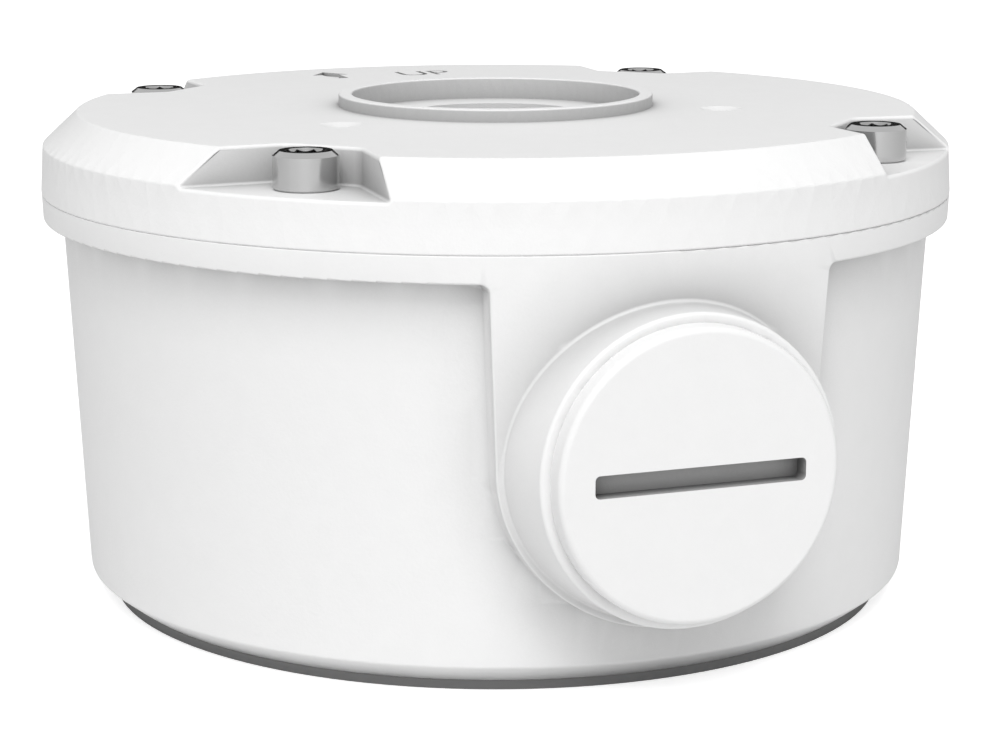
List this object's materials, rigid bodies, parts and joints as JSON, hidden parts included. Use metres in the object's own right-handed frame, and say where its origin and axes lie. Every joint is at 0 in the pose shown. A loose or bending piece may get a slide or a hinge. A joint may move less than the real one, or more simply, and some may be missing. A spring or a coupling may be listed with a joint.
{
  "type": "camera junction box",
  "caption": "Round die-cast junction box that a surveillance camera is screwed to, with a lift-off cover, a capped conduit entry and a rear cable hole.",
  "frame": {"origin": "centre of the rear cable hole on the underside of the base gasket", "axes": "+Z from the wall towards the camera, -Y along the conduit entry, +Y along the cover's arrow"},
  "size_m": [0.1052, 0.1116, 0.0575],
  "materials": {
    "powder_coat": "white powder coat with a fine even grain on die-cast aluminium",
    "screw_steel": "turned stainless steel",
    "gasket_rubber": "matt dark grey",
    "seal_rubber": "black silicone"
  },
  "bodies": {
    "housing": {"housing": "powder_coat", "base_gasket": "gasket_rubber", "cover_seal": "seal_rubber", "earth_screw": "screw_steel", "earth_washer": "screw_steel"},
    "cover": {"cover": "powder_coat", "cover_screws": "screw_steel", "screw_retainers": "seal_rubber"},
    "plug_seal": {"plug_o_ring": "seal_rubber"},
    "plug": {"conduit_plug": "powder_coat"}
  },
  "joints": [
    {"name": "cover_lift", "type": "slide", "parent": "housing", "child": "cover", "axis": [0, 0, 1], "range_m": [0, 0.06]},
    {"name": "plug_travel", "type": "slide", "parent": "housing", "child": "plug_seal", "axis": [0, -1, 0], "range_m": [0, 0.009]},
    {"name": "plug_turn", "type": "hinge", "parent": "plug_seal", "child": "plug", "pos_m": [0, -0.05582, 0.02527], "axis": [0, -1, 0], "range_deg": [0, 2160]}
  ],
  "couplings": [
    {"joint": "plug_travel", "follows": "plug_turn", "m_per_rad": 0.00023873}
  ]
}
